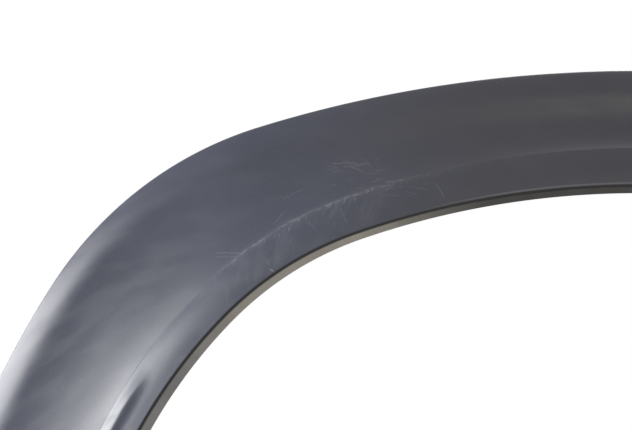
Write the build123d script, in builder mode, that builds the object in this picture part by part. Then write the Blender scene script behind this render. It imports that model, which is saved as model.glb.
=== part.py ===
from build123d import *
import os
from math import atan2, ceil, copysign, cos, degrees, radians, sin, sqrt, tan

# Wheel arch trim: a moulded flare round a wheel opening, and the push-in clips on its back.
# X runs along the car, Y into the body and Z up. The body's surface is the plane Y = 0, and the
# origin is where the axis of the top clip meets it. Lengths are millimetres, angles degrees.

# Inner lip: half of it, from its apex down, as tangent arcs that end at an angle from straight up
lip_top_radius = 570.0
lip_top_end = 23.5
lip_shoulder_radius = 232.0
lip_shoulder_end = 51.0
lip_leg_radius = 355.0
lip_leg_end = 90.0

# Outer rim, in the same way: its leg arc runs as far as the lip does
rim_top_radius = 870.0
rim_top_end = 21.0
rim_shoulder_radius = 262.0
rim_shoulder_end = 63.4
rim_leg_radius = 630.0
apex_width = 86.0  # lip to rim at the apex

# Cross-section: distances from the lip or the rim, and heights in front of the body
flare_depth = 24.0  # corner of the lip
lip_slope = 9.0  # fall of the lip band
lip_band = 6.0  # lip to the start of the roll
lip_chamfer = 1.8  # along each side of the lip's corner
crease_offset = 28.0  # lip to the crease, where the roll meets the scoop
crease_height = 17.0
bead_width = 25.0  # rim to the low flat of the scoop
scoop_height = 8.0
rim_slope = 24.0  # fall of the bead where it reaches the rim's chamfer
rim_chamfer = 1.3  # rim to the end of the bead
rim_rise = 2.0  # height of the chamfer
rim_edge = 1.2  # straight part of the rim's edge
rim_land = 4.0  # strip of the rim that lies on the body
wall = 2.8
flange_wall = 2.6

# Ribs and leg ends
rib_wall = 1.6
ribs_per_bay = 2  # between one clip and the next
rib_setback = 1.5  # back edges of the ribs, in front of the body
end_wall = 2.5

# Clip houses, each open towards the rim
clip_offset = 29.0  # lip to the clip's axis
clip_pitch = 132.0  # along the lip
clips_each_side = 4  # beside the one at the apex
seat_height = 2.6  # seat plate, in front of the body
seat_wall = 2.2
house_wall = 1.8
head_clearance = 0.8  # clip's head to the walls of its house
neck_clearance = 0.3  # clip's neck to the sides of the slot

# Clips: square above the body, so that the houses keep them from turning
head_width = 15.0
head_thickness = 1.6
neck_width = 6.4
foot_width = 16.0
foot_clearance = 0.2  # foot to the seat plate
collar_radius = 4.2  # fills the body's hole
collar_length = 4.0
blade_thickness = 3.4
blade_width = 4.4  # between the barbs
barb_count = 3
barb_pitch = 3.6
barb_reach = 3.8  # axis to the barbs
barb_land = 0.6
barb_slope = 2.2  # length of a barb's slanted side
tip_length = 0.6
tip_width = 2.0

# Room for the build: closest sections, and how far a cut runs past what it opens
section_spacing = 50.0
overcut = 1.0


def tangent_arcs(apex, radii, ends):
    """Centre, radius and end angle of each arc of a half arch, from its apex down the left side."""
    centre = Vector(0, apex - radii[0])
    arcs = [(centre, radii[0], ends[0])]
    for i in range(1, len(radii)):
        centre = centre + outward(ends[i - 1]) * (radii[i - 1] - radii[i])
        arcs.append((centre, radii[i], ends[i]))
    return arcs


def outward(angle):
    """Direction across the band from the lip to the rim, as X and Z."""
    return Vector(-sin(radians(angle)), cos(radians(angle)))


lip_arcs = tangent_arcs(
    -clip_offset,
    (lip_top_radius, lip_shoulder_radius, lip_leg_radius),
    (lip_top_end, lip_shoulder_end, lip_leg_end),
)
rim_arcs = tangent_arcs(
    apex_width - clip_offset,
    (rim_top_radius, rim_shoulder_radius, rim_leg_radius),
    (rim_top_end, rim_shoulder_end, lip_leg_end),
)
half_length = sum(
    radius * radians(end - start)
    for (_, radius, end), start in zip(lip_arcs, (0, lip_top_end, lip_shoulder_end))
)


def lip_angle(run):
    """Angle of the lip's normal from straight up, at a run along the lip from its apex."""
    rest = abs(run)
    angle = 0.0
    for _, radius, end in lip_arcs:
        turn = min(degrees(rest / radius), end - angle)
        angle += turn
        rest -= radius * radians(turn)
    return copysign(angle, run)


def lip_point(angle):
    """Point of the lip whose normal stands at an angle, as X and Z."""
    for centre, radius, end in lip_arcs:
        if abs(angle) <= end:
            break
    point = centre + outward(abs(angle)) * radius
    return Vector(copysign(point.X, -angle), point.Y)


def band_width(angle):
    """Distance from the lip to the rim across the band."""
    across = outward(abs(angle))
    for centre, radius, end in rim_arcs:
        offset = lip_point(abs(angle)) - centre
        along = offset.dot(across)
        width = sqrt(along**2 - offset.dot(offset) + radius**2) - along
        reached = offset + across * width
        if degrees(atan2(-reached.X, reached.Y)) <= end:
            break
    return width


def section_plane(angle):
    """Plane across the band: x runs from the lip to the rim, y away from the body."""
    point = lip_point(angle)
    across = outward(angle)
    return Plane(
        origin=(point.X, 0, point.Y),
        x_dir=(across.X, 0, across.Y),
        z_dir=(across.Y, 0, -across.X),
    )


def clip_plane(angle):
    """Plane on the body at a clip's axis: x runs towards the rim, z away from the body."""
    across = outward(angle)
    centre = lip_point(angle) + across * clip_offset
    return Plane(
        origin=(centre.X, 0, centre.Y),
        x_dir=(across.X, 0, across.Y),
        z_dir=(0, -1, 0),
    )


def falling(slope):
    """Direction towards the rim along a surface that falls by a slope."""
    return Vector(cos(radians(slope)), -sin(radians(slope)))


def below(slope):
    """Direction into the wall under a surface that falls by a slope."""
    return Vector(-sin(radians(slope)), -cos(radians(slope)))


def chord_slope(start, end):
    """Fall of the straight line from one point of a section to another."""
    return degrees(atan2(start.Y - end.Y, end.X - start.X))


def face_points(width):
    """Points of a section where the roll starts and ends, and where the bead starts and ends."""
    roll = Vector(lip_band, flare_depth - lip_band * tan(radians(lip_slope)))
    crease = Vector(crease_offset, crease_height)
    scoop = Vector(width - bead_width, scoop_height)
    rim = Vector(width - rim_chamfer, rim_edge + rim_rise)
    return roll, crease, scoop, rim


def face_profile(width):
    """Closed section from the face down past the body's surface."""
    roll, crease, scoop, rim = face_points(width)
    lip_edge = Vector(0, flare_depth - lip_chamfer)
    band_start = Vector(0, flare_depth) + falling(lip_slope) * lip_chamfer
    with BuildSketch() as profile:
        with BuildLine():
            Polyline((0, -overcut), lip_edge, band_start, roll)
            TangentArc(roll, crease, tangent=falling(lip_slope))
            bead = TangentArc(rim, scoop, tangent=falling(rim_slope) * -1)
            TangentArc(scoop, crease, tangent=bead % 1)
            Polyline(rim, (width, rim_edge), (width, -overcut), (0, -overcut))
        make_face()
    return profile.sketch


def underside_profile(width):
    """Closed section of the room under the face, open at the back."""
    roll, crease, scoop, rim = face_points(width)
    scoop_slope = 2 * chord_slope(scoop, rim) - rim_slope
    roll_end = 2 * chord_slope(roll, crease) - lip_slope
    scoop_end = 2 * chord_slope(crease, scoop) - scoop_slope
    mitre = wall / cos(radians(roll_end - scoop_end) / 2)
    corner_drop = flange_wall * tan(radians(lip_slope)) + wall / cos(radians(lip_slope))
    corner = Vector(flange_wall, flare_depth - corner_drop)
    roll_under = roll + below(lip_slope) * wall
    crease_under = crease + below((roll_end + scoop_end) / 2) * mitre
    scoop_under = scoop + below(scoop_slope) * wall
    bead_rise = (rim - scoop).length / 2 * tan(radians(rim_slope - scoop_slope) / 4)
    bead_under = (scoop + rim) / 2 + below(chord_slope(scoop, rim)) * (wall - bead_rise)
    land = Vector(width - rim_land, 0)
    land_under = land + (land - bead_under) * (overcut / bead_under.Y)
    with BuildSketch() as profile:
        with BuildLine():
            Polyline(scoop_under, bead_under, land_under)
            Polyline(land_under, (flange_wall, -overcut), corner, roll_under, crease_under)
            TangentArc(scoop_under, crease_under, tangent=falling(scoop_slope) * -1)
        make_face()
    return profile.sketch


def station_angles(reach):
    """Angles of evenly spaced sections, as far as a reach along the lip on both sides."""
    count = ceil(reach / section_spacing)
    return [lip_angle(reach * i / count) for i in range(-count, count + 1)]


# Stations of the clips and the ribs along the arch
clip_planes = [
    clip_plane(lip_angle(clip_pitch * i)) for i in range(-clips_each_side, clips_each_side + 1)
]
rib_pitch = clip_pitch / (ribs_per_bay + 1)
ribs_each_side = int(half_length / rib_pitch - 1 / 2)
rib_planes = [
    section_plane(lip_angle(rib_pitch * i))
    for i in range(-ribs_each_side, ribs_each_side + 1)
    if i % (ribs_per_bay + 1)
]

# Clip houses: a seat plate with a slot that is open towards the rim, and three walls
house_inside = head_width + 2 * head_clearance
house_outside = house_inside + 2 * house_wall
slot_width = neck_width + 2 * neck_clearance
seat_top = seat_height + seat_wall
with BuildPart() as clip_houses:
    with BuildSketch(*[plane.offset(seat_height) for plane in clip_planes]):
        Rectangle(house_outside, house_outside)
    extrude(amount=flare_depth)
    with BuildSketch(*[plane.offset(seat_top) for plane in clip_planes]):
        with Locations((house_wall / 2, 0)):
            Rectangle(house_inside + house_wall, house_inside)
    extrude(amount=flare_depth, mode=Mode.SUBTRACT)
    with BuildSketch(*[plane.offset(seat_height) for plane in clip_planes]):
        with Locations((-slot_width / 2, 0)):
            Rectangle(house_outside, slot_width, align=(Align.MIN, Align.CENTER))
    extrude(amount=seat_wall, mode=Mode.SUBTRACT)

# Ribs across the band, before the face and the flange bound them
rib_reach = 2 * band_width(lip_leg_end)
with BuildPart() as ribs:
    with BuildSketch(*rib_planes):
        with Locations((0, rib_setback)):
            Rectangle(rib_reach, flare_depth, align=(Align.CENTER, Align.MIN))
    extrude(amount=rib_wall / 2, both=True)

# The core that hollows the back, with slots for the ribs and the houses
with BuildPart() as core:
    for angle in station_angles(half_length - end_wall):
        with BuildSketch(section_plane(angle)):
            add(underside_profile(band_width(angle)))
    loft()
    add(ribs.part, mode=Mode.SUBTRACT)
    add(clip_houses.part, mode=Mode.SUBTRACT)

# The moulding: lip, face, rim and flange as one loft, cut flat at the body and hollowed by the core
with BuildPart() as arch_moulding:
    for angle in station_angles(half_length):
        with BuildSketch(section_plane(angle)):
            add(face_profile(band_width(angle)))
    loft()
    split(bisect_by=Plane.XZ, keep=Keep.TOP)
    add(core.part, mode=Mode.SUBTRACT)
arch_moulding.part.label = "arch_moulding"

# One clip: head, neck and foot in front of the body, a round collar in its hole and a barbed blade behind
with BuildPart() as clip:
    with BuildSketch(Plane.XY.offset(seat_top)):
        Rectangle(head_width, head_width)
    extrude(amount=head_thickness)
    with BuildSketch():
        Rectangle(neck_width, neck_width)
    extrude(amount=seat_top)
    with BuildSketch():
        Rectangle(foot_width, foot_width)
    extrude(amount=seat_height - foot_clearance)
    with BuildSketch():
        Circle(collar_radius)
    extrude(amount=-collar_length)
    with BuildSketch(Plane.XZ):
        with BuildLine():
            side = [(blade_width / 2, 0)]
            for i in range(barb_count):
                slant_end = -collar_length - barb_pitch * (i + 1)
                land_end = slant_end + barb_slope
                side += [
                    (blade_width / 2, land_end + barb_land),
                    (barb_reach, land_end + barb_land),
                    (barb_reach, land_end),
                    (blade_width / 2, slant_end),
                ]
            side.append((tip_width / 2, slant_end - tip_length))
            Polyline(*side, *[(-x, z) for x, z in reversed(side)], close=True)
        make_face()
    extrude(amount=blade_thickness / 2, both=True)

with BuildPart() as retaining_clips:
    with Locations(*[Location(plane) for plane in clip_planes]):
        add(clip.part)
retaining_clips.part.label = "retaining_clips"

os.makedirs("parts", exist_ok=True)
export_step(arch_moulding.part, "parts/arch_moulding.step")
export_step(retaining_clips.part, "parts/retaining_clips.step")
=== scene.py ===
from math import atan2, ceil, copysign, cos, degrees, pi, radians, sin, sqrt

import bmesh
import bpy
from mathutils import Matrix, Vector


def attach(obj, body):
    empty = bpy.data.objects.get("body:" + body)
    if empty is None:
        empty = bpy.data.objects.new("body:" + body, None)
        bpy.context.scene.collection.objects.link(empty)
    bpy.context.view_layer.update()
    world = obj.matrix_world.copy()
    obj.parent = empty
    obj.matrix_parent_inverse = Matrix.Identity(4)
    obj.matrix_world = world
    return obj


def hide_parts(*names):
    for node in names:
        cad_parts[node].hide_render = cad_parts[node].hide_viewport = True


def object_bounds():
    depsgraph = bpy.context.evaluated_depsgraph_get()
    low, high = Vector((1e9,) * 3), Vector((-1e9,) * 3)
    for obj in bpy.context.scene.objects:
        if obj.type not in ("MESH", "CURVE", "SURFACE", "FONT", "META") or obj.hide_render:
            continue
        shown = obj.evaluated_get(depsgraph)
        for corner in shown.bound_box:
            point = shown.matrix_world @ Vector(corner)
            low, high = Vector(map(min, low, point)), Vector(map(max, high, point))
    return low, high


# Wheel arch trim: the moulding and its clips, in metres, with X along the car, Y into the body and Z up
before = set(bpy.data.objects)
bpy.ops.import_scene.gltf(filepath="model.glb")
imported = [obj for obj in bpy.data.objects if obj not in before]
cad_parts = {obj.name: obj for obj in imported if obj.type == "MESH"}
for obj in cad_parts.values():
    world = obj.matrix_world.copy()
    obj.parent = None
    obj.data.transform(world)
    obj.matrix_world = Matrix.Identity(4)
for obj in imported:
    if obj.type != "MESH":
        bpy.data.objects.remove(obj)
cad_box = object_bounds()
MM = 0.001

# Lengths are in millimetres, but for the weld, the floor, the lamps and the camera's range, in metres

# Inner lip and outer rim: radius of each tangent arc and the angle from straight up where it ends
LIP = ((570.0, 23.5), (232.0, 51.0), (355.0, 90.0))
RIM = ((870.0, 21.0), (262.0, 63.4), (630.0, 90.0))
APEX_WIDTH = 86.0
CLIP_OFFSET = 29.0

# Stations along the lip, and the number that tells each kind of station
SECTION_STEP = 2.5
CLIP_PITCH = 132.0
CLIPS_EACH_SIDE = 4
RIBS_PER_BAY = 2
SKIN, CORE, RIB, CLIP = 0.0, 1.0, 2.0, 3.0

# Sizes of the moulding's section, by the names that its tree shows
SECTION_SIZES = {
    "Flare depth": 24.0,
    "Lip slope": radians(9.0),
    "Lip band": 6.0,
    "Lip round": 1.7,
    "Crease offset": 28.0,
    "Crease height": 17.0,
    "Crease round": 0.5,
    "Bead width": 25.0,
    "Scoop height": 8.0,
    "Rim slope": radians(24.0),
    "Rim round": 2.2,
    "Rim edge": 1.2,
    "Rim land": 4.0,
    "Back round": 0.4,
    "Wall": 2.8,
    "Flange wall": 2.6,
    "Rib wall": 1.6,
    "Rib setback": 1.5,
    "Rib reach": 300.0,
    "Seat height": 2.6,
    "Seat wall": 2.2,
    "House inside": 16.6,
    "House wall": 1.8,
    "Slot width": 7.0,
    "Overcut": 1.0,
}
END_WALL = 2.5

# Steps of each leg of a section, in order
FACE_STEPS = (3, 8, 10, 6, 12, 5, 24, 16, 8, 2, 3)
UNDERSIDE_STEPS = (4, 3, 5, 12, 4, 4)

# Ridge that grows inside the crease down the legs: its distance from the lip, height, spread and run
RIDGE_OFFSET = 20.0
RIDGE_HEIGHT = 2.0
RIDGE_SPREAD = 4.6
RIDGE_RUN = (402.0, 434.0)

# Dip about the crease down the legs: its depth, start and end across, small step at the crease, and run
DIP_DEPTH = 0.75
DIP_START = 19.0
DIP_END = 62.0
DIP_STEP = 0.11
DIP_STEP_ACROSS = (27.6, 28.4)
DIP_RUN = (315.0, 375.0)

# Sizes of one clip
HEAD_WIDTH = 15.0
HEAD_THICKNESS = 1.6
NECK_WIDTH = 6.4
FOOT_WIDTH = 16.0
FOOT_CLEARANCE = 0.2
COLLAR_RADIUS = 4.2
COLLAR_LENGTH = 4.0
COLLAR_SEGMENTS = 64
BLADE_THICKNESS = 3.4
BLADE_WIDTH = 4.4
BARB_COUNT = 3
BARB_PITCH = 3.6
BARB_REACH = 3.8
BARB_LAND = 0.6
BARB_SLOPE = 2.2
TIP_LENGTH = 0.6
TIP_WIDTH = 2.0
CLIP_ROUND = 0.2
CLIP_LAP = 1.0

# Distance at which points weld, and angles past which an edge is rounded or shaded sharp
WELD = 2e-6
ROUNDED_FROM = radians(40.0)
SHARP_FROM = radians(38.0)

# Colours of the moulding, of what lies on it and of the painted shade, highlight and reflection on it, and
# of the clips
PLASTIC_DARK = (0.0285, 0.0322, 0.0505, 1.0)
PLASTIC_PALE = (0.0355, 0.0397, 0.0605, 1.0)
PLASTIC_FLECK = (0.06, 0.064, 0.087, 1.0)
# Painted shade: the face's crown darker and less blue
PLASTIC_CROWN_SHADE = (0.027, 0.0275, 0.034, 1.0)
# Pale colour of scuffs, and of the painted highlight along the lip
PLASTIC_SCUFFED_AND_HIGHLIGHT = (0.24, 0.25, 0.275, 1.0)
# Painted shade at the lip's edge and on the flange's crown
PAINTED_SHADE_DARK = (0.008, 0.008, 0.009, 1.0)
# Beige dust film of the flange, also a painted reflection of the warm floor
FLANGE_DUST_AND_REFLECTION = (0.29, 0.255, 0.18, 1.0)
CLIP_DARK = (0.56, 0.54, 0.48, 1.0)
CLIP_PALE = (0.66, 0.64, 0.58, 1.0)

# Finish of the moulding: shine, least roughness and what adds to it, relief and what it is made of
PLASTIC_SHINE = 0.38
PLASTIC_ROUGHNESS = 0.285
PLASTIC_ROUGHER = {"clouds": 0.03, "wiped": 0.06, "speckle": 0.01, "marks": 0.25, "matt": 0.4, "back": 0.1}
PLASTIC_RELIEF = {"Strength": 0.22, "Distance": 0.00003}
PLASTIC_RELIEF_OF = {"grain": 0.5, "speckle": 0.3, "scratches": -0.8}

# Finish of the clips: least roughness and what adds to it, and relief
CLIP_ROUGHNESS = 0.36
CLIP_ROUGHER = {"clouds": 0.1, "flow": 0.06}
CLIP_RELIEF = {"Strength": 0.2, "Distance": 0.00004}

# Wear, painted shade and the painted highlight lie by their run along the lip from the apex and their place
# across from the lip

# Runs and places of three numbers are two limits and their softness, of two where a rise starts and ends

# Hairline scratches: how far and how finely they wobble, and angle, length, pitch and width of two layers
WOBBLE = 1.6
WOBBLE_SCALE = 0.22
LONG_HAIRS = (24.0, 17.0, 3.2, 0.34)
SHORT_HAIRS = (4.0, 10.0, 3.8, 0.34)

# A hair: spread of its lean, least and chance share of its length, fade to its ends, chance of its depth
HAIR_LEAN = 0.7
HAIR_REACH = (0.2, 0.3)
HAIR_FADE = (0.6, 1.0)
HAIR_DEPTH = (0.3, 0.9)

# Share of a fine line's width that is full
LINE_CORE = 0.3

# Patches of hairs: run, place across, and how pale they are
HAIR_PATCHES = (
    ((204.0, 240.0, 8.0), (32.0, 58.0, 6.0), 0.42),
    ((166.0, 214.0, 10.0), (14.0, 31.0, 6.0), 0.24),
)

# Single scratches: run along the lip and distance from it at both ends, width, and how pale they are
SCRATCHES = (
    ((173.6, 19.2), (170.3, 8.4), 0.4, 0.35),
    ((321.0, 41.4), (310.3, 30.1), 0.35, 0.4),
    ((323.5, 40.0), (313.0, 29.5), 0.35, 0.25),
    ((270.8, 48.0), (257.7, 47.4), 0.35, 0.3),
    ((298.4, 3.8), (299.0, 5.4), 0.6, 0.7),
    ((298.6, 10.4), (297.6, 12.4), 0.5, 0.4),
    ((236.0, 57.5), (222.0, 52.0), 0.35, 0.4),
    ((231.0, 52.5), (214.0, 49.0), 0.35, 0.35),
    ((226.0, 50.5), (219.0, 44.0), 0.35, 0.35),
    ((217.5, 54.0), (213.5, 46.0), 0.35, 0.25),
    ((283.0, 34.0), (274.0, 38.5), 0.35, 0.3),
    ((206.4, 30.9), (193.0, 28.4), 0.4, 0.3),
    ((262.0, 23.0), (259.5, 14.0), 0.4, 0.2),
    ((240.0, 22.0), (239.0, 11.0), 0.45, 0.25),
)

# Rubbed crease: how far it wanders, widths of its line, haze and specks, its dense run and its whole run
RUB_WANDER = 3.2
RUB_LINE = (0.15, 1.1)
RUB_HAZE = (0.5, 4.0)
RUB_SPECKS = (1.0, 7.0)
RUB_DENSE_RUN = (208.0, 318.0, 24.0)
RUB_RUN = (150.0, 430.0, 30.0)

# Noise to the millimetre in the rub, and where its breaks and specks start and end
RUB_WANDER_SCALE = 0.1
RUB_BREAK_SCALE = 0.34
RUB_BREAKS = (0.4, 0.64)
RUB_SPECK_SCALE = 0.95
RUB_SPECK_RISE = (0.64, 0.78)

# Shares of the line's even and broken part, of each part of the rub, and of its runs
RUB_EVEN = 0.1
RUB_BROKEN = 0.45
RUB_SHARES = {"line": 1.0, "haze": 0.1, "fray": 0.5, "specks": 0.35}
RUB_RUN_SHARES = {"dense": 0.85, "whole": 0.15}

# Fray of the rub: angle, length, pitch and width of its hairs, and place across
RUB_FRAY = (122.0, 7.0, 2.3, 0.6)
RUB_FRAY_ACROSS = (23.0, 28.6, 1.6)

# Smears inside the crease: angle to the lip, fineness, detail and rise of two layers, shares, and place
SMEAR_ANGLE = 128.0
SMEAR_FINE = ((0.05, 0.42, 1.0), 5.0, (0.4, 0.75))
SMEAR_BROAD = ((0.03, 0.08, 1.0), 3.0, (0.36, 0.68))
SMEAR_SHARES = {"fine": 0.6, "broad": 0.4}
SMEAR_EVEN = 0.3
SMEAR_PATCHY = 0.7
SMEAR_RUN = (215.0, 338.0, 26.0)
SMEAR_ACROSS = (4.0, 27.0, 3.0)

# Wiped patches down the legs: angle to the lip, fineness, detail and rise, and place
WIPE_ANGLE = 32.0
WIPE = ((0.028, 0.085, 1.0), 5.0, (0.42, 0.66))
WIPE_RUN = (300.0, 390.0)
WIPE_ACROSS = (28.0, 34.0)

# Dust: cells to the metre, size of a speck in its cell, and the chance above which a cell keeps its speck
DUST_SCALE = 170.0
DUST_SIZE = (0.03, 0.07)
DUST_CHANCE = (0.8, 0.82)

# Painted highlight line and painted shade at the lip, the flange, its dust film with painted reflection and
# its matt crown with painted shadow, and painted shade on the face's crown
LIP_HIGHLIGHT_ACROSS = 2.4
LIP_HIGHLIGHT_WIDTH = (0.3, 0.9)
LIP_HIGHLIGHT_RUN = (120.0, 200.0)
LIP_SHADE_ACROSS = (1.2, 2.0)
LIP_SHADE_DEPTH = (20.0, 21.5)
FLANGE_ACROSS = (0.2, 0.4)
FILM_DEPTH = (20.0, 21.0)
FILM_RUN = (190.0, 360.0, 40.0)
FILM_MIDDLE = 0.8
FILM_EVEN = 0.2
MATT_RUN = (110.0, 250.0)
CROWN_SHADE_RUN = (140.0, 300.0)

# Share of each mark in the scuffed colour, the lip's painted highlight among them
MARK_SHARES = {"scratches": 0.42, "rub": 0.38, "smears": 0.085, "dust": 0.3, "lip_highlight": 0.16}

# Share of each colour over the moulding's own, of clouds in the dust film with painted reflection, and of
# painted shadow on the flange's matt crown
FLECK_SHARE = 0.18
CROWN_SHADE_SHARE = 0.75
HAZE_SHARE = 0.22
FILM_SHARE = 0.4
FILM_CLOUDS = 0.26
PAINTED_SHADE_SHARE = 0.9
CROWN_FLANGE_SHADE_SHARE = 0.7

# Noise to the metre: clouds, speckle and grain of the moulding, clouds and flow marks of the clips, floor
CLOUD_SCALE = 11.0
SPECKLE_SCALE = 700.0
GRAIN_SCALE = 1900.0
CLIP_CLOUD_SCALE = 120.0
CLIP_FLOW_SCALE = 700.0
CLIP_FLOW_STRETCH = (1.0, 0.25, 1.0)
FLOOR_CLOUD_SCALE = 3.0

# Where clouds and speckle start and end
CLOUD_RISE = (0.3, 0.7)
SPECKLE_RISE = (0.35, 0.75)

# Backdrop and floor: their colours, the backdrop's light, and the floor's own share of white and half width
BACKDROP_LIGHT = (1.0, 0.89, 0.67, 1.0)
BACKDROP_STRENGTH = 0.37
BACKDROP_SEEN = (1.0, 1.0, 1.0, 1.0)
FLOOR_DARK = (0.79, 0.81, 0.85, 1.0)
FLOOR_PALE = (0.82, 0.84, 0.88, 1.0)
FLOOR_GLOW = (1.0, 0.98, 0.94, 1.0)
FLOOR_GLOW_SHARE = 0.5
FLOOR_REACH = 6.0

# Lamps: name, place, target, size, radiance, colour, and what each lights where it is not all
WHITE = (1.0, 1.0, 1.0)
LAMPS = (
    ("left_soft_box", (-1.517, -0.462, -0.052), (-0.42, 0.0, -0.22), (1.28, 0.685), 18.0, WHITE, "trim"),
    ("rear_soft_box", (0.5, 2.4, 1.2), (0.0, 0.0, -0.1), (1.8, 1.2), 7.0, WHITE, "trim"),
    ("front_fill", (0.25, -2.2, 0.7), (0.0, 0.0, 0.0), (1.1, 0.5), 2.4, (1.0, 0.87, 0.65), None),
    ("top_soft_box", (0.0, -0.2, 2.4), (0.0, 0.0, 0.0), (1.6, 1.2), 1.6, WHITE, None),
    ("floor_soft_box", (-0.7, -1.3, 2.1), (0.0, 0.2, -0.37), (0.7, 0.7), 22.0, (1.0, 0.98, 0.93), "ground"),
)

# Camera: pixels of a 632 by 430 frame, roll and place
FRAME_PX = (632, 430)
FOCAL_PX = 1500.0
DEPTH_POINT_PX = (609.7, 494.6)
ROLL = radians(6.12)
CAMERA_PLACE = Vector((-44.1, -1030.0, -234.7)) * MM
SENSOR_WIDTH = 36.0
CLIP_RANGE = (0.01, 50.0)


class Value:
    """A node's output that takes part in Python arithmetic, through Math nodes."""

    def __init__(self, tree, socket):
        self.tree = tree
        self.socket = socket

    def math(self, operation, *others):
        return self.tree.node("ShaderNodeMath", {"operation": operation}, (self, *others))

    def __add__(self, other):
        return self.math("ADD", other)

    def __sub__(self, other):
        return self.math("SUBTRACT", other)

    def __mul__(self, other):
        return self.math("MULTIPLY", other)

    def __truediv__(self, other):
        return self.math("DIVIDE", other)

    def __radd__(self, other):
        return self + other

    def __rsub__(self, other):
        return self.tree.number(other) - self

    def __rmul__(self, other):
        return self * other

    def __neg__(self):
        return self * -1.0

    def clamp(self):
        return self.tree.node("ShaderNodeClamp", {}, (self,))

    def step(self, low, high):
        """Smooth rise from 0 at low to 1 at high."""
        settings = {"interpolation_type": "SMOOTHSTEP"}
        return self.tree.node("ShaderNodeMapRange", settings, (self, low, high, 0.0, 1.0))


class Tree:
    """A node tree that is written as calls: one method makes any node."""

    def __init__(self, nodes):
        self.nodes = nodes

    def node(self, kind, settings=None, inputs=(), output=0):
        """Adds a node, sets it up, fills its sockets by number or name, and gives one of its outputs."""
        made = self.nodes.nodes.new(kind)
        for name, setting in (settings or {}).items():
            setattr(made, name, setting)
        pairs = inputs.items() if isinstance(inputs, dict) else enumerate(inputs)
        for key, value in pairs:
            for each in value if isinstance(value, list) else [value]:
                self.fill(made.inputs[key], each)
        return Value(self, made.outputs[output]) if made.outputs else made

    def fill(self, socket, value):
        """Links a socket to an output of another node, or sets its value."""
        if isinstance(value, Value):
            self.nodes.links.new(value.socket, socket)
        else:
            socket.default_value = value

    def number(self, value):
        return self.node("ShaderNodeMath", {"operation": "ADD"}, (value, 0.0))

    def vector(self, x, y, z):
        return self.node("ShaderNodeCombineXYZ", {}, (x, y, z))

    def axis(self, vector, name):
        return self.node("ShaderNodeSeparateXYZ", {}, (vector,), name)

    def vector_math(self, operation, *inputs, output=0):
        return self.node("ShaderNodeVectorMath", {"operation": operation}, inputs, output)


# Rails of the arch

def outward(angle):
    """Direction across the band from the lip to the rim, as X and Z."""
    return Vector((-sin(radians(angle)), cos(radians(angle))))


def tangent_arcs(apex, arcs):
    """Centre, radius and end angle of each arc of a half arch, from its apex down the left side."""
    centre = Vector((0.0, apex - arcs[0][0]))
    made = [(centre, *arcs[0])]
    for (before, start), (radius, end) in zip(arcs, arcs[1:]):
        centre = centre + outward(start) * (before - radius)
        made.append((centre, radius, end))
    return made


def arcs_length(arcs):
    """Length of a half arch from its apex to its end."""
    length = angle = 0.0
    for radius, end in arcs:
        length += radius * radians(end - angle)
        angle = end
    return length


LIP_ARCS = tangent_arcs(-CLIP_OFFSET, LIP)
RIM_ARCS = tangent_arcs(APEX_WIDTH - CLIP_OFFSET, RIM)
HALF_LENGTH = arcs_length(LIP)


def lip_angle(run):
    """Angle of the lip's normal from straight up, at a run along the lip from its apex."""
    rest = abs(run)
    angle = 0.0
    for radius, end in LIP:
        turn = min(degrees(rest / radius), end - angle)
        angle += turn
        rest -= radius * radians(turn)
    return copysign(angle, run)


def lip_point(angle):
    """Point of the lip whose normal stands at an angle, as X and Z."""
    for centre, radius, end in LIP_ARCS:
        if abs(angle) <= end:
            break
    point = centre + outward(abs(angle)) * radius
    return Vector((copysign(point.x, -angle), point.y))


def band_width(angle):
    """Distance from the lip to the rim across the band."""
    across = outward(abs(angle))
    for centre, radius, end in RIM_ARCS:
        offset = lip_point(abs(angle)) - centre
        along = offset.dot(across)
        width = sqrt(along**2 - offset.length_squared + radius**2) - along
        reached = offset + across * width
        if degrees(atan2(-reached.x, reached.y)) <= end:
            break
    return width


def even_runs(reach):
    """Runs along the lip from one end to the other, close to a section step apart."""
    count = ceil(reach / SECTION_STEP)
    return [reach * i / count for i in range(-count, count + 1)]


def arch_stations():
    """Loose points along the lip for the skin, the core, the ribs and the clips, told apart by kind."""
    rows = []
    for kind, reach in ((SKIN, HALF_LENGTH), (CORE, HALF_LENGTH - END_WALL)):
        runs = even_runs(reach)
        rows.append((kind, runs[0], 0.0))
        rows += [(kind, run, 1.0) for run in runs]
        rows.append((kind, runs[-1], 0.0))
    rib_pitch = CLIP_PITCH / (RIBS_PER_BAY + 1)
    each_side = int(HALF_LENGTH / rib_pitch - 1 / 2)
    numbers = [i for i in range(-each_side, each_side + 1) if i % (RIBS_PER_BAY + 1)]
    rows += [(RIB, rib_pitch * i, 1.0) for i in numbers]
    rows += [(CLIP, CLIP_PITCH * i, 1.0) for i in range(-CLIPS_EACH_SIDE, CLIPS_EACH_SIDE + 1)]
    angles = [lip_angle(run) for _, run, _ in rows]
    points = [lip_point(angle) * MM for angle in angles]
    mesh = bpy.data.meshes.new("stations")
    mesh.from_pydata([(p.x, 0.0, p.y) for p in points], [], [])
    for key, values in (
        ("kind", [kind for kind, _, _ in rows]),
        ("run", [run for _, run, _ in rows]),
        ("rise", [rise for _, _, rise in rows]),
        ("turn", [-radians(angle) for angle in angles]),
        ("width", [band_width(angle) for angle in angles]),
    ):
        mesh.attributes.new(key, "FLOAT", "POINT").data.foreach_set("value", values)
    return mesh


# Sections as chains of arcs and lines

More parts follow.
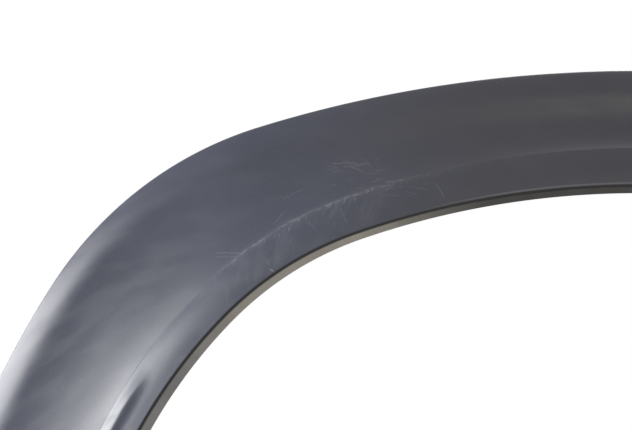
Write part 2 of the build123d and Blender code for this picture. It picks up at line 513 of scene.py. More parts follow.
def chain_point(first, legs, steps, place):
    """Point of a section at a place along it. A leg has an end point, and a turn unless it is straight."""
    x, y = first
    along, height = x, y
    done = 0
    for ((end_x, end_y), turn), count in zip(legs, steps):
        part = ((place - float(done)) / float(count)).clamp()
        chord_x, chord_y = end_x - x, end_y - y
        if turn is None:
            along = along + chord_x * part
            height = height + chord_y * part
        else:
            half = turn / 2.0
            grow = (half * part).math("SINE") / half.math("SINE")
            lean = half * (part - 1.0)
            c, s = lean.math("COSINE") * grow, lean.math("SINE") * grow
            along = along + chord_x * c - chord_y * s
            height = height + chord_x * s + chord_y * c
        done += count
        x, y = end_x, end_y
    return along, height


def chord_slope(start, end):
    """Fall of the straight line from one point of a section to another."""
    return (start[1] - end[1]).math("ARCTAN2", end[0] - start[0])


def under(point, slope, depth):
    """Point at a depth under a surface that falls by a slope."""
    return point[0] - depth * slope.math("SINE"), point[1] - depth * slope.math("COSINE")


def face_points(size, width):
    """Points that the face and its underside share: lip band's end, crease, scoop's end and rim's start."""
    slope, fall, turn = size["Lip slope"], size["Rim slope"], size["Rim round"]
    roll = (size["Lip band"], size["Flare depth"] - size["Lip band"] * slope.math("TANGENT"))
    crease = (size["Crease offset"], size["Crease height"])
    scoop = (width - size["Bead width"], size["Scoop height"])
    rim = (width - turn * (1.0 - fall.math("SINE")), size["Rim edge"] + turn * fall.math("COSINE"))
    return roll, crease, scoop, rim


def face_slopes(size, roll, crease, scoop, rim):
    """Slopes of the face where the roll ends, where the scoop starts and where the bead starts."""
    bead_start = chord_slope(scoop, rim) * 2.0 - size["Rim slope"]
    roll_end = chord_slope(roll, crease) * 2.0 - size["Lip slope"]
    scoop_start = chord_slope(crease, scoop) * 2.0 - bead_start
    return roll_end, scoop_start, bead_start


def face_section(tree, size, at, place):
    """The moulding's outside: back corner, flange, lip, roll, crease, scoop, bead and rim."""
    width, depth, edge_height = at["width"], size["Flare depth"], size["Rim edge"]
    slope, fall, back = size["Lip slope"], size["Rim slope"], size["Back round"]
    roll, crease, scoop, rim = face_points(size, width)
    roll_end, scoop_start, bead_start = face_slopes(size, roll, crease, scoop, rim)
    edge = size["Lip round"] * ((slope + pi / 2) / 2.0).math("TANGENT")
    band = (edge * slope.math("COSINE"), depth - edge * slope.math("SINE"))
    soft = size["Crease round"]
    inside = (crease[0] - soft * roll_end.math("COSINE"), crease[1] + soft * roll_end.math("SINE"))
    outside = (crease[0] + soft * scoop_start.math("COSINE"), crease[1] - soft * scoop_start.math("SINE"))
    quarter = tree.number(-pi / 2)
    legs = [
        ((0.0, back), quarter),
        ((0.0, depth - edge), None),
        (band, quarter - slope),
        (roll, None),
        (inside, slope - roll_end),
        (outside, roll_end - scoop_start),
        (scoop, scoop_start - bead_start),
        (rim, bead_start - fall),
        ((width, edge_height), quarter + fall),
        ((width, back), None),
        ((width - back, 0.0), quarter),
    ]
    along, height = chain_point((back, 0.0), legs, FACE_STEPS, place)
    return (along, with_relief(along, height, at["run"])), (back, width - back)


def with_relief(along, height, run):
    """Height of the face with the ridge added and the dip about the crease taken away, down the legs."""
    down_leg = run.math("ABSOLUTE")
    offset = (along - RIDGE_OFFSET) / RIDGE_SPREAD
    ridge = (offset * -offset).math("EXPONENT") * down_leg.step(*RIDGE_RUN) * RIDGE_HEIGHT
    low, high = DIP_STEP_ACROSS
    sunk = ((along - DIP_START) / (low - DIP_START)).clamp()
    sunk = sunk * sunk * (DIP_DEPTH - along.step(low, high) * DIP_STEP) * (1.0 - along.step(high, DIP_END))
    return height + ridge - sunk * down_leg.step(*DIP_RUN)


def underside_section(tree, size, at, place):
    """The room under the face, from the flange to the land of the rim."""
    width, wall, flange, past = at["width"], size["Wall"], size["Flange wall"], -size["Overcut"]
    slope, fall = size["Lip slope"], size["Rim slope"]
    roll, crease, scoop, rim = face_points(size, width)
    roll_end, scoop_start, bead_start = face_slopes(size, roll, crease, scoop, rim)
    bead_slope = chord_slope(scoop, rim)
    mitre = wall / ((roll_end - scoop_start) / 2.0).math("COSINE")
    drop = flange * slope.math("TANGENT") + wall / slope.math("COSINE")
    half_chord = (rim[0] - scoop[0]) / bead_slope.math("COSINE") / 2.0
    rise = half_chord * ((fall - bead_start) / 4.0).math("TANGENT")
    middle = ((scoop[0] + rim[0]) / 2.0, (scoop[1] + rim[1]) / 2.0)
    bead_under = under(middle, bead_slope, wall - rise)
    land = width - size["Rim land"]
    land_under = (land + (land - bead_under[0]) * size["Overcut"] / bead_under[1], past)
    legs = [
        ((flange, size["Flare depth"] - drop), None),
        (under(roll, slope, wall), None),
        (under(crease, (roll_end + scoop_start) / 2.0, mitre), None),
        (under(scoop, bead_start, wall), scoop_start - bead_start),
        (bead_under, None),
        (land_under, None),
    ]
    return chain_point((flange, past), legs, UNDERSIDE_STEPS, place), (flange, land_under[0])


# Geometry trees

def new_tree(name, sizes, sockets=()):
    """An empty geometry tree with named inputs: its wrapper, and its inputs by name."""
    group = bpy.data.node_groups.new(name, "GeometryNodeTree")
    face = group.interface
    face.new_socket("Geometry", in_out="OUTPUT", socket_type="NodeSocketGeometry")
    face.new_socket("Stations", in_out="INPUT", socket_type="NodeSocketGeometry")
    for key in sizes:
        face.new_socket(key, in_out="INPUT", socket_type="NodeSocketFloat")
    for key, kind in sockets:
        face.new_socket(key, in_out="INPUT", socket_type=kind)
    tree = Tree(group)
    entry = group.nodes.new("NodeGroupInput")
    return tree, {s.name: Value(tree, s) for s in entry.outputs if s.name}


def close_tree(tree, geometry, material):
    """Realises what the tree made, gives it its material and hands it out."""
    real = tree.node("GeometryNodeRealizeInstances", {}, (geometry,))
    painted = tree.node("GeometryNodeSetMaterial", {}, {"Geometry": real, "Material": material})
    tree.node("NodeGroupOutput", {}, (painted,))


def attribute(tree, name):
    return tree.node("GeometryNodeInputNamedAttribute", {"data_type": "FLOAT"}, (name,))


def stations_of(tree, stations, kind):
    """The stations of one kind, as points of their own."""
    settings = {"data_type": "FLOAT", "operation": "EQUAL"}
    same = tree.node("FunctionNodeCompare", settings, (attribute(tree, "kind"), kind))
    return tree.node("GeometryNodeSeparateGeometry", {"domain": "POINT"}, (stations, same))


def sampled(tree, stations, value, index, kind):
    """A value of the station with a given index."""
    inputs = {"Geometry": stations, "Value": value, "Index": index}
    return tree.node("GeometryNodeSampleIndex", {"data_type": kind}, inputs)


def lofted(tree, stations, section, steps, size, base, skin):
    """A closed solid through a section at every station, with its back flat at the base height."""
    count = sum(steps) + 1
    index = tree.node("GeometryNodeInputIndex")
    station = (index / float(2 * count)).math("FLOOR")
    place = index - station * float(2 * count)
    behind = place.math("GREATER_THAN", count - 0.5)
    place = place.math("MINIMUM", (2.0 * count - 1.0) - place)
    keys = ("turn", "width", "run", "rise")
    at = {key: sampled(tree, stations, attribute(tree, key), station, "FLOAT") for key in keys}
    lip = sampled(tree, stations, tree.node("GeometryNodeInputPosition"), station, "FLOAT_VECTOR")
    (along, height), (first, last) = section(tree, size, at, place)
    flat = along.math("MAXIMUM", first).math("MINIMUM", last)
    front = (1.0 - behind) * at["rise"]
    along = flat + (along - flat) * front
    height = base + (height - base) * front
    side, up = at["turn"].math("SINE") * along * MM, at["turn"].math("COSINE") * along * MM
    position = tree.vector_math("ADD", lip, tree.vector(side, height * -MM, up))
    points = tree.node("GeometryNodeAttributeDomainSize", {"component": "MESH"}, (stations,))
    grid = tree.node("GeometryNodeMeshGrid", {}, (1.0, 1.0, points, 2 * count))
    for key, value in (("run", at["run"]), ("across", along), ("skin", skin)):
        settings = {"data_type": "FLOAT", "domain": "POINT"}
        kept = {"Geometry": grid, "Name": key, "Value": value}
        grid = tree.node("GeometryNodeStoreNamedAttribute", settings, kept)
    grid = tree.node("GeometryNodeSetPosition", {}, {"Geometry": grid, "Position": position})
    grid = tree.node("GeometryNodeFlipFaces", {}, (grid,))
    return tree.node("GeometryNodeMergeByDistance", {}, {"Geometry": grid, "Distance": WELD})


def block(tree, size, centre):
    """A box of a size about a centre, both in millimetres."""
    size, centre = (tree.vector(*[value * MM for value in values]) for values in (size, centre))
    cube = tree.node("GeometryNodeMeshCube", {}, (size, 2, 2, 2))
    return tree.node("GeometryNodeTransform", {}, {"Geometry": cube, "Translation": centre})


def on_stations(tree, stations, piece):
    """Copies of a piece that is modelled at the apex, each turned to its station."""
    turn = tree.vector(0.0, attribute(tree, "turn"), 0.0)
    turn = tree.node("FunctionNodeEulerToRotation", {}, (turn,))
    placed = {"Points": stations, "Instance": piece, "Rotation": turn}
    copies = tree.node("GeometryNodeInstanceOnPoints", {}, placed)
    return tree.node("GeometryNodeRealizeInstances", {}, (copies,))


def cut(tree, whole, tool):
    settings = {"operation": "DIFFERENCE", "solver": "MANIFOLD"}
    return tree.node("GeometryNodeMeshBoolean", settings, (whole, tool))


def clip_house(tree, size):
    """A house for a clip's head at the apex: a block with an open-topped pocket and a slotted seat."""
    depth, past = size["Flare depth"], size["Overcut"]
    inner, wall = size["House inside"], size["House wall"]
    seat, seat_wall, slot_width = size["Seat height"], size["Seat wall"], size["Slot width"]
    outer = inner + wall * 2.0
    house = block(tree, (outer, depth, outer), (0.0, -(seat + depth / 2.0), CLIP_OFFSET))
    length = inner + wall + past
    middle = (0.0, -(seat + seat_wall + depth / 2.0), (length - inner) / 2.0 + CLIP_OFFSET)
    pocket = block(tree, (inner, depth, length), middle)
    middle = (0.0, -(seat + seat_wall / 2.0), (outer - slot_width) / 2.0 + CLIP_OFFSET)
    slot = block(tree, (slot_width, seat_wall + past * 2.0, outer), middle)
    return cut(tree, cut(tree, house, pocket), slot)


def moulding_tree(material):
    """The moulding: a lofted outside, hollowed by a core that leaves the ribs and the clip houses."""
    tree, size = new_tree("arch moulding", SECTION_SIZES)
    kinds = (SKIN, CORE, RIB, CLIP)
    skins, cores, ribs, clips = (stations_of(tree, size["Stations"], kind) for kind in kinds)
    outside = lofted(tree, skins, face_section, FACE_STEPS, size, tree.number(0.0), 1.0)
    core = lofted(tree, cores, underside_section, UNDERSIDE_STEPS, size, -size["Overcut"], 0.0)
    depth = size["Flare depth"]
    rib_middle = (0.0, -(size["Rib setback"] + depth / 2.0), 0.0)
    rib = block(tree, (size["Rib wall"], depth, size["Rib reach"]), rib_middle)
    core = cut(tree, core, on_stations(tree, ribs, rib))
    core = cut(tree, core, on_stations(tree, clips, clip_house(tree, size)))
    close_tree(tree, cut(tree, outside, core), material)
    return tree.nodes


def evaluated(name, mesh, group, given):
    """An object with the plain mesh that a tree makes from stations and the values of its named inputs."""
    holder = bpy.data.objects.new(name, mesh)
    bpy.context.scene.collection.objects.link(holder)
    modifier = holder.modifiers.new(name, "NODES")
    modifier.node_group = group
    for item in group.interface.items_tree:
        if item.in_out == "INPUT" and item.name in given:
            modifier[item.identifier] = given[item.name]
    done = holder.evaluated_get(bpy.context.evaluated_depsgraph_get())
    made = bpy.data.meshes.new_from_object(done)
    made.name = name
    # Boxes and grids bring an empty material slot along, and it goes
    while None in made.materials[:]:
        made.materials.pop(index=made.materials[:].index(None))
    made.set_sharp_from_angle(angle=SHARP_FROM)
    holder.modifiers.remove(modifier)
    holder.data = made
    return holder


# Clips

def flat_block(width, low, high):
    """A square plate of a width between two heights off the back."""
    bm = bmesh.new()
    bmesh.ops.create_cube(bm, size=1.0)
    bmesh.ops.scale(bm, vec=(width, high - low, width), verts=bm.verts)
    bmesh.ops.translate(bm, vec=(0.0, -(low + high) / 2, 0.0), verts=bm.verts)
    return bm


def collar():
    """The round collar that centres the clip in the body's hole."""
    bm = bmesh.new()
    length = COLLAR_LENGTH + CLIP_LAP
    ends = {"radius1": COLLAR_RADIUS, "radius2": COLLAR_RADIUS}
    bmesh.ops.create_cone(bm, cap_ends=True, segments=COLLAR_SEGMENTS, depth=length, **ends)
    bmesh.ops.rotate(bm, matrix=Matrix.Rotation(pi / 2, 3, "X"), verts=bm.verts)
    bmesh.ops.translate(bm, vec=(0.0, length / 2 - CLIP_LAP, 0.0), verts=bm.verts)
    return bm


def barbed_blade():
    """The blade that pushes into the body's hole, with a row of barbs on either edge."""
    side = [(BLADE_WIDTH / 2, 0.0)]
    for i in range(BARB_COUNT):
        slant_end = COLLAR_LENGTH + BARB_PITCH * (i + 1)
        land_end = slant_end - BARB_SLOPE
        side += [
            (BLADE_WIDTH / 2, land_end - BARB_LAND),
            (BARB_REACH, land_end - BARB_LAND),
            (BARB_REACH, land_end),
            (BLADE_WIDTH / 2, slant_end),
        ]
    side.append((TIP_WIDTH / 2, slant_end + TIP_LENGTH))
    outline = side + [(-x, y) for x, y in reversed(side)]
    bm = bmesh.new()
    blade = bm.faces.new([bm.verts.new((-BLADE_THICKNESS / 2, y, x)) for x, y in outline])
    grown = bmesh.ops.extrude_face_region(bm, geom=[blade])["geom"]
    grown = [v for v in grown if isinstance(v, bmesh.types.BMVert)]
    bmesh.ops.translate(bm, vec=(BLADE_THICKNESS, 0.0, 0.0), verts=grown)
    return bm


def clip_block(name, bm):
    """An object of one block of a clip, in metres, with its sharp edges rounded."""
    bmesh.ops.recalc_face_normals(bm, faces=bm.faces)
    sharp = [e for e in bm.edges if e.calc_face_angle(0.0) > ROUNDED_FROM]
    bmesh.ops.bevel(bm, geom=sharp, offset=CLIP_ROUND, segments=2, profile=0.5, affect="EDGES")
    bmesh.ops.translate(bm, vec=(0.0, 0.0, CLIP_OFFSET), verts=bm.verts)
    bmesh.ops.scale(bm, vec=(MM, MM, MM), verts=bm.verts)
    mesh = bpy.data.meshes.new(name)
    bm.to_mesh(mesh)
    bm.free()
    holder = bpy.data.objects.new(name, mesh)
    bpy.context.scene.collection.objects.link(holder)
    return holder


def clip_blocks():
    """The blocks of one clip at the apex, by name."""
    seat = SECTION_SIZES["Seat height"]
    seat_top = seat + SECTION_SIZES["Seat wall"]
    shapes = {
        "Head": flat_block(HEAD_WIDTH, seat_top, seat_top + HEAD_THICKNESS),
        "Neck": flat_block(NECK_WIDTH, 0.0, seat_top + HEAD_THICKNESS / 2),
        "Foot": flat_block(FOOT_WIDTH, 0.0, seat - FOOT_CLEARANCE),
        "Collar": collar(),
        "Blade": barbed_blade(),
    }
    return {name: clip_block(name, bm) for name, bm in shapes.items()}


def clip_tree(material, names):
    """A row of clips, one at each clip station, each joined from its blocks."""
    tree, inputs = new_tree("clip row", (), [(name, "NodeSocketObject") for name in names])
    blocks = [tree.node("GeometryNodeObjectInfo", {}, (inputs[name],), "Geometry") for name in names]
    settings = {"operation": "UNION", "solver": "MANIFOLD"}
    clip = tree.node("GeometryNodeMeshBoolean", settings, {"Mesh 2": blocks})
    row = on_stations(tree, stations_of(tree, inputs["Stations"], CLIP), clip)
    close_tree(tree, row, material)
    return tree.nodes


# Materials

def new_material(name):
    material = bpy.data.materials.new(name)
    material.use_nodes = True
    material.node_tree.nodes.clear()
    return material, Tree(material.node_tree)


def finish_surface(tree, values):
    shader = tree.node("ShaderNodeBsdfPrincipled", {}, values)
    tree.node("ShaderNodeOutputMaterial", {}, {"Surface": shader})


def noise(tree, vector, scale, detail=2.0):
    """Soft random values from 0 to 1 in space."""
    return tree.node("ShaderNodeTexNoise", {}, {"Vector": vector, "Scale": scale, "Detail": detail})


def flat_noise(tree, vector, scale, detail=2.0, output=0):
    """Soft random values from 0 to 1 on a flat sheet."""
    inputs = {"Vector": vector, "Scale": scale, "Detail": detail}
    return tree.node("ShaderNodeTexNoise", {"noise_dimensions": "2D"}, inputs, output)


def mixed(tree, amount, first, second):
    """One colour blended over another. A Mix node repeats its sockets' names, so they go by identifier."""
    mix = tree.nodes.nodes.new("ShaderNodeMix")
    mix.data_type = "RGBA"
    sockets = {s.identifier: s for s in mix.inputs}
    for key, value in (("Factor_Float", amount), ("A_Color", first), ("B_Color", second)):
        tree.fill(sockets[key], value)
    return Value(tree, next(s for s in mix.outputs if s.identifier == "Result_Color"))


def within(value, low, high, soft):
    """1 between two limits, with soft ends."""
    return value.step(low - soft, low + soft) * (1.0 - value.step(high - soft, high + soft))


def turned(tree, spot, angle):
    """Places on the band, turned so that the first axis runs at an angle to the lip."""
    settings = {"rotation_type": "Z_AXIS"}
    return tree.node("ShaderNodeVectorRotate", settings, {"Vector": spot, "Angle": -radians(angle)})


def weighted(parts, shares, start=0.0):
    """Sum of named parts, each by its share."""
    return sum((parts[name] * share for name, share in shares.items()), start)


def smears(tree, leant, fineness, detail, rise):
    """Streaks along the first axis of places that were turned."""
    return flat_noise(tree, tree.vector_math("MULTIPLY", leant, fineness), 1.0, detail).step(*rise)


def line(gap, width):
    """1 in the middle of a fine line and 0 outside its width, by the gap from its middle."""
    return 1.0 - gap.step(width * LINE_CORE, width)


def dashes(tree, spot, angle, length, pitch, width):
    """Straight scratches scattered at about one angle to the lip, of many leans, lengths and depths."""
    size = (length, pitch, 1.0)
    cells = tree.vector_math("DIVIDE", turned(tree, spot, angle), size)
    settings = {"voronoi_dimensions": "2D"}
    centre = tree.node("ShaderNodeTexVoronoi", settings, {"Vector": cells, "Scale": 1.0}, "Position")
    chance = Value(tree, centre.socket.node.outputs["Color"])
    offset = tree.vector_math("MULTIPLY", tree.vector_math("SUBTRACT", cells, centre), size)
    x, y = (tree.axis(offset, name) for name in "XY")
    lean, reach, depth = (tree.axis(chance, name) for name in "XYZ")
    gap = (y - x * (lean - 0.5) * HAIR_LEAN).math("ABSOLUTE")
    least, more = HAIR_REACH
    part = x.math("ABSOLUTE") / (least * length + reach * more * length)
    return line(gap, width) * (1.0 - part.step(*HAIR_FADE)) * depth.step(*HAIR_DEPTH)


def stroke(tree, spot, start, end, width):
    """A single scratch from one place on the band to another."""
    way = Vector((*end, 0.0)) - Vector((*start, 0.0))
    offset = tree.vector_math("SUBTRACT", spot, (*start, 0.0))
    part = tree.vector_math("DOT_PRODUCT", offset, tuple(way / way.length_squared), output="Value").clamp()
    scaled = {"Vector": tuple(way), "Scale": part}
    nearest = tree.node("ShaderNodeVectorMath", {"operation": "SCALE"}, scaled)
    return line(tree.vector_math("DISTANCE", offset, nearest, output="Value"), width)


def hairline_scratches(tree, run, across, spot):
    """Fine scratches: hairs in patches, and single strokes, all with a slight wobble."""
    wobble = flat_noise(tree, spot, WOBBLE_SCALE, output="Color")
    spot = tree.vector_math("MULTIPLY_ADD", wobble, (WOBBLE, WOBBLE, 0.0), spot)
    hairs = dashes(tree, spot, *LONG_HAIRS).math("MAXIMUM", dashes(tree, spot, *SHORT_HAIRS))
    patches = sum(
        within(run, *along) * within(across, *over) * strength for along, over, strength in HAIR_PATCHES
    )
    scratches = hairs * patches
    for start, end, width, strength in SCRATCHES:
        scratches = scratches.math("MAXIMUM", stroke(tree, spot, start, end, width) * strength)
    return scratches


def crease_rub(tree, run, across, spot):
    """The pale line along the crease, broken and frayed towards the lip, densest on the shoulder."""
    crease = SECTION_SIZES["Crease offset"]
    wander = (flat_noise(tree, spot, RUB_WANDER_SCALE, detail=4.0) - 0.5) * RUB_WANDER
    gap = (across - crease + wander).math("ABSOLUTE")
    broken = flat_noise(tree, spot, RUB_BREAK_SCALE, detail=4.0).step(*RUB_BREAKS)
    specks = flat_noise(tree, spot, RUB_SPECK_SCALE).step(*RUB_SPECK_RISE)
    parts = {
        "line": (1.0 - gap.step(*RUB_LINE)) * (RUB_EVEN + broken * RUB_BROKEN),
        "haze": 1.0 - gap.step(*RUB_HAZE),
        "fray": dashes(tree, spot, *RUB_FRAY) * within(across, *RUB_FRAY_ACROSS),
        "specks": specks * (1.0 - gap.step(*RUB_SPECKS)),
    }
    runs = {"dense": within(run, *RUB_DENSE_RUN), "whole": within(run, *RUB_RUN)}
    return weighted(parts, RUB_SHARES) * weighted(runs, RUB_RUN_SHARES)


def rub_smears(tree, run, across, spot):
    """Wiped smears across the strip between the crease and the lip."""
    leant = turned(tree, spot, SMEAR_ANGLE)
    layers = {"fine": smears(tree, leant, *SMEAR_FINE), "broad": smears(tree, leant, *SMEAR_BROAD)}
    smeared = weighted(layers, SMEAR_SHARES) * (SMEAR_EVEN + layers["broad"] * SMEAR_PATCHY)
    return smeared * within(run, *SMEAR_RUN) * within(across, *SMEAR_ACROSS)


def dust_specks(tree, place):
    """Small round specks in some of the cells of a scatter."""
    cells = {"Vector": place, "Scale": DUST_SCALE}
    specks = 1.0 - tree.node("ShaderNodeTexVoronoi", {}, cells, "Distance").step(*DUST_SIZE)
    chance = tree.axis(tree.node("ShaderNodeTexVoronoi", {}, cells, "Color"), "X")
    return specks * chance.step(*DUST_CHANCE)


def moulded_plastic():
    """Dark slate satin plastic: moulded grain, faint clouds, a rubbed crease, scratches and dust, with
    painted shade and a painted highlight at the lip, painted shade on the crown and a dust film with
    painted reflection on the flange.
    """
    material, tree = new_material("moulded_plastic")
    place = tree.node("ShaderNodeTexCoord", {}, (), "Object")
    run, across, skin = (
        tree.node("ShaderNodeAttribute", {"attribute_name": name}, (), "Fac")
        for name in ("run", "across", "skin")
    )
    depth = tree.axis(place, "Y") / -MM
    spot = tree.vector(run, across, 0.0)
    from_apex = run.math("ABSOLUTE")

    scratches = hairline_scratches(tree, run, across, spot)
    # Painted highlight: a thin pale line just above the lip's edge, near the apex
    lip_highlight = 1.0 - (across - LIP_HIGHLIGHT_ACROSS).math("ABSOLUTE").step(*LIP_HIGHLIGHT_WIDTH)
    found = {
        "scratches": scratches,
        "rub": crease_rub(tree, run, across, spot),
        "smears": rub_smears(tree, run, across, spot),
        "dust": dust_specks(tree, place),
        # The painted highlight, near the apex only
        "lip_highlight": lip_highlight * (1.0 - from_apex.step(*LIP_HIGHLIGHT_RUN)),
    }
    # Marks and the painted lip highlight, in the scuffed colour and in the roughness
    marks = (weighted(found, MARK_SHARES) * skin).clamp()

    # Painted shade: a dark line along the lip's edge and the front of the flange
    lip_edge_shade = skin * (1.0 - across.step(*LIP_SHADE_ACROSS)) * depth.step(*LIP_SHADE_DEPTH)
    flange = skin * (1.0 - across.step(*FLANGE_ACROSS))
    # Beige film on the flange, strongest partway down the legs: dust, and painted reflection of the warm
    # floor
    film_strength = within(from_apex, *FILM_RUN) * FILM_MIDDLE + FILM_EVEN
    dust_and_reflection_film = flange * (1.0 - depth.step(*FILM_DEPTH)) * film_strength
    # The flange's crown: rougher, and darkened with painted shadow
    matt = flange * (1.0 - from_apex.step(*MATT_RUN))
    # Painted shade: the face darker and less blue towards the apex
    crown_shade = skin * (1.0 - from_apex.step(*CROWN_SHADE_RUN))
    wiped = smears(tree, turned(tree, spot, WIPE_ANGLE), *WIPE)
    hazed = wiped * skin * from_apex.step(*WIPE_RUN) * across.step(*WIPE_ACROSS)

    clouds = noise(tree, place, CLOUD_SCALE, detail=3.0)
    speckle = noise(tree, place, SPECKLE_SCALE, detail=3.0)
    grain = noise(tree, place, GRAIN_SCALE)
    colour = mixed(tree, clouds.step(*CLOUD_RISE), PLASTIC_DARK, PLASTIC_PALE)
    for amount, over in (
        (speckle.step(*SPECKLE_RISE) * FLECK_SHARE, PLASTIC_FLECK),
        # Painted shade on the face's crown
        (crown_shade * CROWN_SHADE_SHARE, PLASTIC_CROWN_SHADE),
        (hazed * HAZE_SHARE, PLASTIC_FLECK),
        # Dust film with painted reflection on the flange
        (dust_and_reflection_film * (FILM_SHARE + clouds * FILM_CLOUDS), FLANGE_DUST_AND_REFLECTION),
        # Painted shade at the lip's edge, and painted shadow on the flange's crown
        (lip_edge_shade.math("MAXIMUM", matt * CROWN_FLANGE_SHADE_SHARE) * PAINTED_SHADE_SHARE, PAINTED_SHADE_DARK),
        # Marks, with the painted highlight along the lip
        (marks, PLASTIC_SCUFFED_AND_HIGHLIGHT),
    ):
        colour = mixed(tree, amount, colour, over)

    rougher = {"clouds": clouds, "wiped": wiped, "speckle": speckle}
    rougher.update({"marks": marks, "matt": matt, "back": 1.0 - skin})
    roughness = weighted(rougher, PLASTIC_ROUGHER, PLASTIC_ROUGHNESS)
    relief = {"grain": grain, "speckle": speckle, "scratches": scratches * skin}
    height = weighted(relief, PLASTIC_RELIEF_OF)
    bump = tree.node("ShaderNodeBump", {}, {**PLASTIC_RELIEF, "Height": height})
    values = {"Base Color": colour, "Roughness": roughness, "Normal": bump}
    finish_surface(tree, {**values, "Specular IOR Level": PLASTIC_SHINE})
    return material


def clip_plastic():
    """Natural plastic of the clips: waxy, faintly clouded, with flow marks along the blade."""
    material, tree = new_material("clip_plastic")
    place = tree.node("ShaderNodeTexCoord", {}, (), "Object")
    clouds = noise(tree, place, CLIP_CLOUD_SCALE, detail=3.0)
    flow = noise(tree, tree.vector_math("MULTIPLY", place, CLIP_FLOW_STRETCH), CLIP_FLOW_SCALE)
    colour = mixed(tree, clouds.step(*CLOUD_RISE), CLIP_DARK, CLIP_PALE)
    roughness = weighted({"clouds": clouds, "flow": flow}, CLIP_ROUGHER, CLIP_ROUGHNESS)
    bump = tree.node("ShaderNodeBump", {}, {**CLIP_RELIEF, "Height": flow})
    finish_surface(tree, {"Base Color": colour, "Roughness": roughness, "Normal": bump})
    return material


# The pieces
stations = arch_stations()
moulding = evaluated("arch_moulding_skin", stations, moulding_tree(moulded_plastic()), SECTION_SIZES)
blocks = clip_blocks()
clips = evaluated("retaining_clip_row", stations.copy(), clip_tree(clip_plastic(), blocks), blocks)
for spare_block in blocks.values():
    bpy.data.objects.remove(spare_block)
for piece in (moulding, clips):
    for spare_name in ("kind", "rise", "turn", "width"):
        piece.data.attributes.remove(piece.data.attributes[spare_name])
for piece, node, slot in (
    (moulding, "arch_moulding", "moulded_plastic"),
    (clips, "retaining_clips", "clip_plastic"),
):
    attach(piece, "root")
    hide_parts(node)


# Stage, light and camera

def seen_rays(tree):
    """1 for the rays that show a surface, in view or mirrored, and 0 for those that only carry light."""
    seen = tree.node("ShaderNodeLightPath", {}, (), "Is Camera Ray")
    for name in ("Is Glossy Ray", "Is Transmission Ray"):
        seen = seen.math("MAXIMUM", tree.node("ShaderNodeLightPath", {}, (), name))
    return seen


def backdrop():
    """A world that is white where it is seen or mirrored, and a plain warm grey where it only lights."""
    world = bpy.data.worlds.new("backdrop")
    bpy.context.scene.world = world
    world.use_nodes = True
    world.node_tree.nodes.clear()
    tree = Tree(world.node_tree)
    light = tree.node("ShaderNodeBackground", {}, {"Color": BACKDROP_LIGHT, "Strength": BACKDROP_STRENGTH})
    white = tree.node("ShaderNodeBackground", {}, {"Color": BACKDROP_SEEN, "Strength": 1.0})
    surface = tree.node("ShaderNodeMixShader", {}, (seen_rays(tree), light, white))
    tree.node("ShaderNodeOutputWorld", {}, {"Surface": surface})


def pale_floor():
    """A plain pale floor under the leg ends, which shows near white and still takes the shadow."""
    material, tree = new_material("pale_floor")
    place = tree.node("ShaderNodeTexCoord", {}, (), "Object")
    clouds = noise(tree, place, FLOOR_CLOUD_SCALE)
    colour = mixed(tree, clouds.step(*CLOUD_RISE), FLOOR_DARK, FLOOR_PALE)
    plain = tree.node("ShaderNodeBsdfDiffuse", {}, {"Color": colour})
    white = tree.node("ShaderNodeEmission", {}, {"Color": FLOOR_GLOW, "Strength": 1.0})
    surface = tree.node("ShaderNodeMixShader", {}, (seen_rays(tree) * FLOOR_GLOW_SHARE, plain, white))
    tree.node("ShaderNodeOutputMaterial", {}, {"Surface": surface})
    mesh = bpy.data.meshes.new("floor")
    corners = [(x * FLOOR_REACH, y * FLOOR_REACH) for x, y in ((-1, -1), (1, -1), (1, 1), (-1, 1))]
    mesh.from_pydata([(x, y, cad_box[0].z) for x, y in corners], [], [(0, 1, 2, 3)])
    mesh.materials.append(material)
    floor = bpy.data.objects.new("floor", mesh)
    bpy.context.scene.collection.objects.link(floor)
    return floor


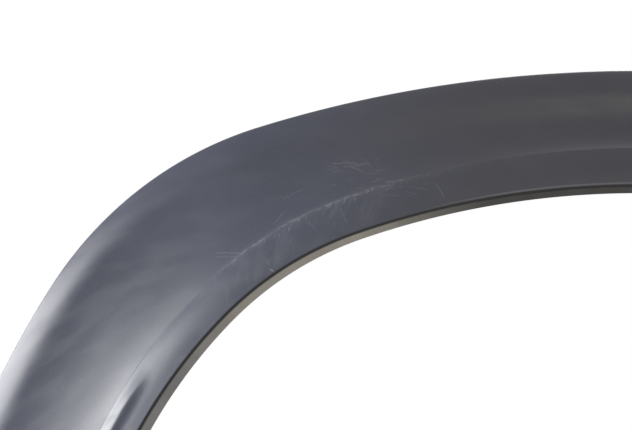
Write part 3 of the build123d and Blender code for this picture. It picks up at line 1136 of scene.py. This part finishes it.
def grouped(name, members):
    """A collection of objects that a lamp can be kept to."""
    group = bpy.data.collections.new(name)
    for member in members:
        group.objects.link(member)
    return group


def soft_box(name, place, target, size, radiance, colour, lit):
    """A rectangular lamp of even radiance, from a place at a target, that lights all or one group."""
    lamp = bpy.data.lights.new(name, "AREA")
    lamp.shape = "RECTANGLE"
    lamp.size, lamp.size_y = size
    lamp.color = colour
    lamp.energy = radiance * pi * size[0] * size[1]
    holder = bpy.data.objects.new(name, lamp)
    holder.location = place
    holder.rotation_euler = (Vector(target) - Vector(place)).to_track_quat("-Z", "Y").to_euler()
    holder.light_linking.receiver_collection = lit
    bpy.context.scene.collection.objects.link(holder)


def photo_camera():
    """A camera, with a roll, whose view along the depth axis meets the frame at the depth point."""
    centre = Vector((FRAME_PX[0] / 2, FRAME_PX[1] / 2))
    reach = (Vector(DEPTH_POINT_PX) - centre) / FOCAL_PX
    depth = Vector((reach.x, reach.y, 1.0)).normalized()
    side = (Vector((1.0, 0.0, 0.0)) - depth * depth.x).normalized()
    down = depth.cross(side)
    side, down = side * cos(ROLL) + down * sin(ROLL), down * cos(ROLL) - side * sin(ROLL)
    columns = [
        Vector((side.dot(v), depth.dot(v), -down.dot(v)))
        for v in (Vector((1.0, 0.0, 0.0)), Vector((0.0, -1.0, 0.0)), Vector((0.0, 0.0, -1.0)))
    ]
    data = bpy.data.cameras.new("photo_camera")
    data.sensor_fit = "HORIZONTAL"
    data.sensor_width = SENSOR_WIDTH
    data.lens = FOCAL_PX / FRAME_PX[0] * SENSOR_WIDTH
    data.clip_start, data.clip_end = CLIP_RANGE
    camera = bpy.data.objects.new("photo_camera", data)
    turn = Matrix(columns).transposed()
    camera.matrix_world = Matrix.Translation(CAMERA_PLACE) @ turn.to_4x4()
    bpy.context.scene.collection.objects.link(camera)
    bpy.context.scene.camera = camera


backdrop()
groups = {"trim": grouped("trim", (moulding, clips)), "ground": grouped("ground", (pale_floor(),))}
for *values, lit_name in LAMPS:
    soft_box(*values, groups.get(lit_name))
photo_camera()
bpy.context.scene.view_settings.view_transform = "Standard"
